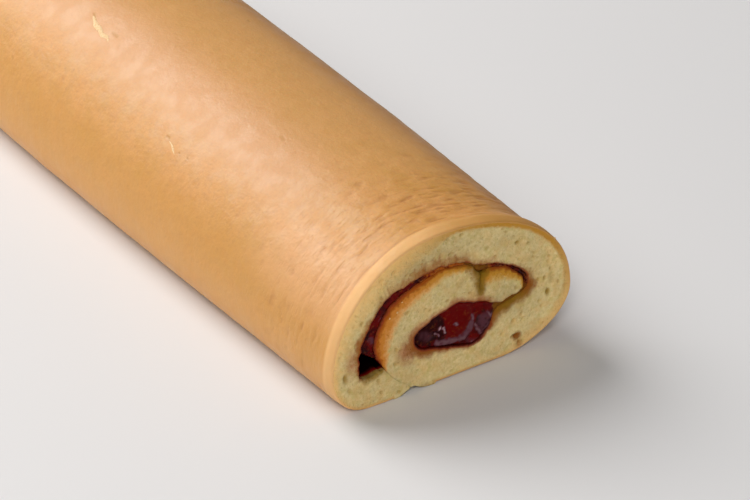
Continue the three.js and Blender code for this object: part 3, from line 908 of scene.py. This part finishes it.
class Nodes:
    """Short ways to add and join the nodes of one material."""

    def __init__(self, name):
        self.material = bpy.data.materials.new(name)
        self.material.use_nodes = True
        self.tree = self.material.node_tree
        self.shader = self.tree.nodes["Principled BSDF"]

    def feed(self, node, **inputs):
        """Sets or links inputs of a node, by name or, as in i0, by number."""
        for name, value in inputs.items():
            numbered = name[:1] == "i" and name[1:].isdigit()
            target = node.inputs[int(name[1:]) if numbered else name.replace("_", " ")]
            if isinstance(value, bpy.types.NodeSocket):
                self.tree.links.new(value, target)
            else:
                target.default_value = value

    def add(self, kind, settings=None, **inputs):
        node = self.tree.nodes.new("ShaderNode" + kind)
        for key, value in (settings or {}).items():
            setattr(node, key, value)
        self.feed(node, **inputs)
        return node

    def finished(self, **inputs):
        """The material, once its shader is fed."""
        self.feed(self.shader, **inputs)
        return self.material

    def attribute(self, name):
        return self.add("Attribute", {"attribute_name": name}).outputs["Fac"]

    def place(self):
        """The part's own coordinates, in millimetres."""
        source = self.add("TexCoord").outputs["Object"]
        return self.add("Mapping", i0=source, i3=(1000, 1000, 1000)).outputs[0]

    def noise(self, size, detail=3, where=None, roughness=0.55):
        """Noise from 0 to 1 with features about size millimetres apart."""
        inputs = {"Scale": 1 / size, "Detail": detail, "Roughness": roughness}
        return self.add("TexNoise", Vector=where or self.place(), **inputs).outputs["Fac"]

    def cells(self, size):
        """The distance from the nearest of points about size millimetres apart."""
        return self.add("TexVoronoi", Vector=self.place(), Scale=1 / size).outputs["Distance"]

    def math(self, operation, a, b, clamp=False):
        return self.add("Math", {"operation": operation, "use_clamp": clamp}, i0=a, i1=b).outputs[0]

    def times(self, *values):
        product = values[0]
        for value in values[1:]:
            product = self.math("MULTIPLY", product, value)
        return product

    def between(self, value, low, high, to_low=0, to_high=1):
        """value carried from the range low to high over to another range, with smooth ends."""
        settings = {"interpolation_type": "SMOOTHSTEP"}
        return self.add("MapRange", settings, i0=value, i1=low, i2=high, i3=to_low, i4=to_high).outputs[0]

    def mix(self, share, first, second, blend="MIX"):
        colours = [c if isinstance(c, bpy.types.NodeSocket) else (*c, 1) for c in (first, second)]
        settings = {"data_type": "RGBA", "blend_type": blend}
        return self.add("Mix", settings, i0=share, i6=colours[0], i7=colours[1]).outputs[2]

    def over(self, base, *layers):
        """base under layers of colour: each a field, the range where it comes in, its cover and colour."""
        for field, low, high, cover, colour in layers:
            base = self.mix(self.between(field, low, high, 0, cover), base, colour)
        return base

    def blend(self, share, first, second):
        return self.add("Mix", {"data_type": "FLOAT"}, i0=share, i2=first, i3=second).outputs[0]

    def combine(self, x, y, z):
        return self.add("CombineXYZ", X=x, Y=y, Z=z).outputs[0]

    def vector(self, operation, a, b=(0, 0, 0), output=0):
        return self.add("VectorMath", {"operation": operation}, i0=a, i1=b).outputs[output]

    def from_segment(self, place, start, end):
        """The distance of place from the segment between two places, all in the plane of X and Y."""
        step = Vector((end[0] - start[0], end[1] - start[1], 0))
        offset = self.vector("SUBTRACT", place, (*start, 0))
        share = self.vector("DOT_PRODUCT", offset, tuple(step / max(step.length_squared, 1e-9)), 1)
        share = self.math("MULTIPLY", share, 1, clamp=True)
        foot = self.vector("MULTIPLY", self.combine(share, share, share), tuple(step))
        return self.vector("LENGTH", self.vector("SUBTRACT", offset, foot), output=1)

    def scatter(self, weight, radius, scale):
        """Light that goes in and comes out again: how much, how far by colour, and how far in metres."""
        self.feed(self.shader, Subsurface_Weight=weight, Subsurface_Radius=radius, Subsurface_Scale=scale)

    def bump(self, height, distance, strength):
        """distance is the height in millimetres that a height of 1 stands for."""
        return self.add("Bump", Strength=strength, Distance=distance * MM, Height=height).outputs[0]


def srgb(red, green, blue):
    """The linear colour of one given as it shows on a screen, from 0 to 255."""
    shown = (red / 255, green / 255, blue / 255)
    return tuple(((c + 0.055) / 1.055) ** 2.4 if c > 0.04045 else c / 12.92 for c in shown)


# Dark marks in the skin, dents painted darker, and beside the lifted flakes painted shadow: from [mm round
# the skin, mm along Y] to another such place, half width, strength.
MARKS = [
    ((148.8, 42.4), (150.9, 38.6), 0.7, 0.8), ((150.2, 28.4), (150.4, 25.6), 0.9, 0.6),
    ((166.2, -25.9), (166.3, -27), 0.8, 0.9), ((168, -35), (168.1, -35.3), 0.5, 0.7),
    ((167.8, -39.4), (167.9, -39.8), 0.5, 0.6), ((142, -61.6), (142.6, -63.6), 1, 0.45),
    ((95, 62.4), (95.8, 57.8), 0.7, 0.7), ((189, 87.6), (188.6, 84.4), 0.6, 0.6),
    ((106, 12), (106.4, 11), 0.7, 0.6), ((178, 61), (178.3, 60), 0.6, 0.5),
]
DASH_LENGTH = 4.6  # the fine dark dashes along the wrinkles
DASH_WIDTH = 0.8
# Jam red inside the hollow, and near black, painted shade, deep inside it.
DIM_RED = (0.2, 0.003, 0.001)  # what shows inside the hollow, and deep inside it
DARKNESS = (0.003, 0.0002, 0.0001)


def sponge_material():
    """Golden skin, cream crumb, and crumb soaked with jam, told apart by the mesh's own fields."""
    n = Nodes("sponge")
    on_skin, around, reach, lines, crust, dark, soaked, golden, *others = map(n.attribute, FIELDS)
    brown, pink, olive, tone, jammy, pit, hollow = others
    along = n.add("SeparateXYZ", Vector=n.place()).outputs[1]

    # The skin.
    blotches, patchy = n.noise(26, 3), n.noise(7, 4)
    skin = n.mix(n.between(blotches, 0.35, 0.65), srgb(207, 151, 70), srgb(216, 157, 85))
    skin = n.over(
        skin,
        (patchy, 0.35, 0.68, 0.55, srgb(224, 160, 90)),
        (n.noise(4.4, 3), 0.45, 0.68, 0.4, srgb(206, 142, 60)),
        (n.noise(1.6, 3), 0.4, 0.7, 0.35, srgb(196, 140, 84)),
        (n.noise(0.8, 2), 0.6, 0.74, 0.2, srgb(170, 112, 60)),
    )
    spread = n.combine(n.times(around, 1 / DASH_LENGTH), n.times(along, 1 / DASH_WIDTH), 0)
    dashes = n.between(n.noise(1, 2, spread), 0.56, 0.7)
    near = n.times(n.between(reach, 5.5, 9), n.between(reach, 85, 12), n.between(around, 215, 180))
    dashes = n.times(dashes, near)
    # The dashes are painted darker: painted shade in their grooves.
    skin = n.mix(n.times(dashes, 0.15), skin, srgb(180, 106, 56))
    # Painted sheen over the top, golden on the right, and a pinkish painted highlight where the window
    # shines along it.
    painted_sheen = n.times(n.between(around, 172, 150), n.between(reach, 20, 75), 0.75)
    skin = n.mix(painted_sheen, skin, srgb(216, 160, 108))
    golden_side = n.times(n.between(around, 148, 128), n.between(reach, 15, 60), 0.5)
    skin = n.mix(golden_side, skin, srgb(214, 160, 82))
    skin = n.over(skin, (around, 172, 184, 0.5, srgb(209, 150, 64)))
    painted_highlight = n.times(n.between(around, 156, 168, 0, 0.45), n.between(around, 192, 178))
    painted_highlight = n.times(painted_highlight, n.between(reach, 70, 35))
    skin = n.mix(painted_highlight, skin, srgb(236, 180, 128))
    lip = n.between(reach, 6.4, 4.6)
    # The lip's light colour on the left is partly its less browned skin and partly painted highlight.
    lip_colour = n.mix(dark, srgb(246, 194, 128), srgb(204, 148, 70))
    # Darker on the right, away from the window: painted shade.
    skin = n.over(skin, (around, 110, 92, 0.7, srgb(182, 120, 40)))
    # Lighter low on the left, where the light falls: painted light.
    skin = n.over(skin, (around, 184, 204, 0.45, srgb(236, 176, 106)))
    skin = n.mix(n.times(lip, 0.8), skin, lip_colour)
    # Darker in the creases: painted shade.
    skin = n.over(skin, (lines, 0.05, 0.36, 0.42, srgb(168, 104, 48)))
    marks = None
    for start, end, half_width, strength in MARKS:
        gap = n.from_segment(n.combine(around, along, 0), start, end)
        mark = n.between(gap, half_width * 1.3, 0, 0, strength)
        marks = mark if marks is None else n.math("MAXIMUM", marks, mark)
    skin = n.mix(marks, skin, srgb(190, 134, 54))

    # The crumb.
    grain = n.noise(1.1, 4)
    crumb = n.mix(n.between(grain, 0.3, 0.7), srgb(215, 191, 130), srgb(227, 206, 150))
    crumb = n.over(
        crumb,
        (n.noise(4.2, 3), 0.42, 0.66, 0.5, srgb(221, 180, 112)),
        (n.noise(2.6, 3), 0.5, 0.68, 0.5, srgb(203, 180, 104)),
        (n.noise(1.7, 2), 0.52, 0.7, 0.45, srgb(240, 214, 158)),
        # Darker in the pits: painted shade.
        (pit, 0.06, 0.5, 0.5, srgb(172, 134, 56)),
    )
    crumb = n.mix(1, crumb, n.combine(tone, tone, tone), "MULTIPLY")
    fray = n.between(n.noise(1.6, 4), 0.25, 0.75, -0.5, 0.5)

    def frayed(field):
        """A field whose edges are ragged: where it is neither 0 nor 1."""
        edge = n.times(field, n.math("SUBTRACT", 1, field, clamp=True))
        return n.math("ADD", field, n.times(edge, fray))

    crust_colour = n.mix(n.between(dark, 0, 0.6), srgb(255, 208, 134), srgb(234, 188, 118))
    crumb = n.over(crumb, (frayed(crust), 1.1, 0, 0.95, crust_colour))
    charred = n.times(n.between(frayed(crust), 1.05, 0.65), dark)
    crumb = n.mix(charred, crumb, srgb(200, 144, 54))
    faint = n.mix(golden, srgb(236, 172, 100), srgb(216, 170, 88))
    middling = n.mix(golden, srgb(212, 134, 48), srgb(200, 140, 40))
    strong = n.mix(golden, srgb(164, 80, 4), srgb(150, 76, 6))
    crumb = n.over(
        crumb,
        (frayed(pink), 0, 1, 0.85, srgb(176, 106, 72)),
        (frayed(soaked), 1, 0.6, 0.9, faint),
        (frayed(soaked), 0.75, 0.36, 0.95, middling),
        (frayed(soaked), 0.34, 0.08, 0.95, strong),
        (frayed(brown), 0, 1, 1, srgb(150, 86, 22)),
        # Olive is painted shade in crevices and holes.
        (frayed(olive), 0, 1, 0.95, srgb(140, 106, 18)),
        (frayed(jammy), 0.05, 0.5, 0.8, srgb(146, 60, 28)),
        (frayed(jammy), 0.45, 0.95, 0.95, srgb(82, 10, 4)),
        # Jam red in the hollow, then near black, painted shade, deeper in.
        (hollow, 0, 0.5, 1, DIM_RED),
        (hollow, 0.5, 1, 1, DARKNESS),
    )

    # The shine and the fine relief.
    is_skin = n.between(on_skin, 0.35, 0.8)
    wet = n.between(jammy, 0.3, 0.9)
    satin = n.between(n.noise(7, 4), 0.35, 0.65, 0.46, 0.58)
    satin = n.math("ADD", satin, n.times(lip, 0.12))
    holes = n.between(n.cells(1.3), 0.36, 0.1, 0, 0.5)
    crumb_height = n.math("SUBTRACT", n.noise(0.8, 4, roughness=0.6), holes)
    leather = n.math("ADD", n.noise(1.3, 4), n.times(n.noise(3.6, 3), 1.7))
    leather = n.math("SUBTRACT", n.times(leather, 0.32), n.times(dashes, 0.22))
    leather = n.math("SUBTRACT", leather, n.times(marks, 0.3))
    n.scatter(0.15, (1, 0.5, 0.22), 0.0022)
    return n.finished(
        Base_Color=n.mix(is_skin, crumb, skin),
        Roughness=n.blend(is_skin, n.between(wet, 0.2, 1, 0.85, 0.4), satin),
        Specular_IOR_Level=n.blend(is_skin, n.between(hollow, 0, 1, 0.16, 0), 0.7),
        Normal=n.bump(n.blend(is_skin, crumb_height, leather), 0.42, 0.8),
    )


def loose_material(name, dark, light):
    """Bare crumb or crust, for what has come away."""
    n = Nodes(name)
    return n.finished(
        Base_Color=n.mix(n.between(n.noise(0.5, 3), 0.35, 0.65), dark, light),
        Roughness=n.between(n.noise(0.6, 2), 0.3, 0.7, 0.6, 0.8),
        Normal=n.bump(n.noise(0.35, 3), 0.15, 0.7),
    )


def jam_material():
    n = Nodes("jam")
    red = n.math("ADD", n.attribute("red"), n.between(n.noise(3, 3), 0.3, 0.7, -0.35, 0.35))
    body = n.mix(n.between(red, 0.1, 0.9), (0.022, 0.0008, 0.0016), (0.13, 0.0004, 0.0002))
    film = n.math("ADD", n.attribute("thin"), n.between(n.noise(1.2, 3), 0.3, 0.7, -0.3, 0.3))
    film = n.between(film, 0.1, 0.9, 0, 0.95)
    film_colour = n.mix(n.between(n.noise(2.4, 3), 0.35, 0.65), srgb(134, 50, 12), srgb(180, 98, 26))
    # Painted shade, brown, on the film in the crack's mouth and under the knob.
    film_colour = n.mix(n.attribute("tan"), film_colour, srgb(126, 78, 16))
    body = n.mix(film, body, film_colour)
    painted_reflection, deep = n.attribute("painted_reflection"), n.attribute("deep")
    # Painted reflections on the jam, purple grey and grey pink, painted highlights near white, and near
    # black painted shade deep in the hollow.
    body = n.over(
        body,
        (painted_reflection, 0, 0.3, 1, (0.115, 0.036, 0.050)),
        (painted_reflection, 0.25, 0.6, 1, (0.25, 0.135, 0.145)),
        (painted_reflection, 0.55, 1, 1, (0.8, 0.55, 0.62)),
        (deep, 0.05, 0.5, 1, DARKNESS),
    )
    n.scatter(0.1, (1, 0.08, 0.08), 0.001)
    return n.finished(
        Base_Color=body,
        Roughness=n.blend(film, n.between(n.noise(2.5, 3), 0.3, 0.7, 0.08, 0.18), 0.5),
        Specular_IOR_Level=n.blend(n.between(deep, 0, 0.5), 0.07, 0),
        Normal=n.bump(n.noise(1.5, 2), 0.14, 0.5),
    )


# ---- stage

FLOOR_HALF = 3  # metres


def place_facing(made, place, back):
    """Puts a lamp or the camera at a place, with its back towards the direction given."""
    made.location = place
    made.rotation_euler = (-back).to_track_quat("-Z", "Y").to_euler()


def floor():
    mesh = bpy.data.meshes.new("floor")
    corners = [(x * FLOOR_HALF, y * FLOOR_HALF, 0) for x, y in ((-1, -1), (1, -1), (1, 1), (-1, 1))]
    mesh.from_pydata(corners, [], [(0, 1, 2, 3)])
    mesh.materials.append(Nodes("floor").finished(Base_Color=(0.78, 0.78, 0.79, 1), Roughness=0.6))
    add_object("floor", mesh)


# Lamps: the direction they shine from, how far off, how wide, their power in watts and their colour.
LAMPS = {
    "window": ((-0.30, 0.70, 0.66), 1.7, 1.5, 33, (1, 0.97, 0.94)),
    "front": ((-0.2, -0.85, 0.5), 1.8, 1.4, 6.4, (1, 0.98, 0.96)),
    "glint": ((-0.45, -0.62, 0.64), 1.5, 0.35, 5.4, (1, 0.98, 0.95)),
}
AIM = (0, -0.05, 0.03)
ROOM_COLOUR = (0.97, 0.98, 1)
ROOM_STRENGTH = 0.11


def lights():
    """A window behind the roll, softer light from the front, a small lamp for glints, and a dim room."""
    for name, (direction, distance, size, watts, colour) in LAMPS.items():
        light = bpy.data.lights.new(name, "AREA")
        light.shape, light.size, light.energy, light.color = "DISK", size, watts, colour
        way = Vector(direction).normalized()
        place_facing(add_object(name, light), Vector(AIM) + way * distance, way)
    world = bpy.data.worlds.new("room")
    bpy.context.scene.world = world
    world.use_nodes = True
    room = world.node_tree.nodes["Background"].inputs
    room["Color"].default_value = (*ROOM_COLOUR, 1)
    room["Strength"].default_value = ROOM_STRENGTH


# The camera, as the photograph was taken: where it stands, how far off, and where the cut lies in the frame.
AZIMUTH = math.radians(-34.4)
ELEVATION = math.radians(32.5)
FOCAL_PIXELS = 6000
PIXELS_PER_MM = 3.10
FRAME_WIDTH = 750
FRAME_HEIGHT = 500
CUT_FOOT_PIXEL = (452.76, 377.05)  # where the foot of the cut's middle line shows
SENSOR = 36


def camera():
    right = Vector((math.cos(AZIMUTH), math.sin(AZIMUTH), 0))
    level = math.cos(ELEVATION)
    back = Vector((math.sin(AZIMUTH) * level, -math.cos(AZIMUTH) * level, math.sin(ELEVATION)))
    up = back.cross(right)
    foot = Vector(placed(0, 0, 0).tolist())
    across = (CUT_FOOT_PIXEL[0] - FRAME_WIDTH / 2) / PIXELS_PER_MM * MM
    down = (CUT_FOOT_PIXEL[1] - FRAME_HEIGHT / 2) / PIXELS_PER_MM * MM
    target = foot - right * across + up * down
    data = bpy.data.cameras.new("camera")
    data.sensor_width = SENSOR
    data.lens = FOCAL_PIXELS * SENSOR / FRAME_WIDTH
    made = add_object("camera", data)
    place_facing(made, target + back * (FOCAL_PIXELS / PIXELS_PER_MM * MM), back)
    bpy.context.scene.camera = made


# ---- the scene

bpy.context.scene.view_settings.view_transform = "Standard"
camera()
lights()
floor()
crumb_material = loose_material("bare_crumb", srgb(222, 176, 112), srgb(236, 196, 134))
flake_material = loose_material("bare_crust", srgb(234, 194, 138), srgb(248, 216, 168))
for piece, node in ((sponge(), "sponge"), (jam(), "jam")):
    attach(piece, "root")
    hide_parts(node)
loose = [flake(f"crust_flake_{i}", *shape, 200 + 10 * i) for i, shape in enumerate(FLAKES, 1)]
for piece in [*loose, crumbs()]:
    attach(piece, "root")
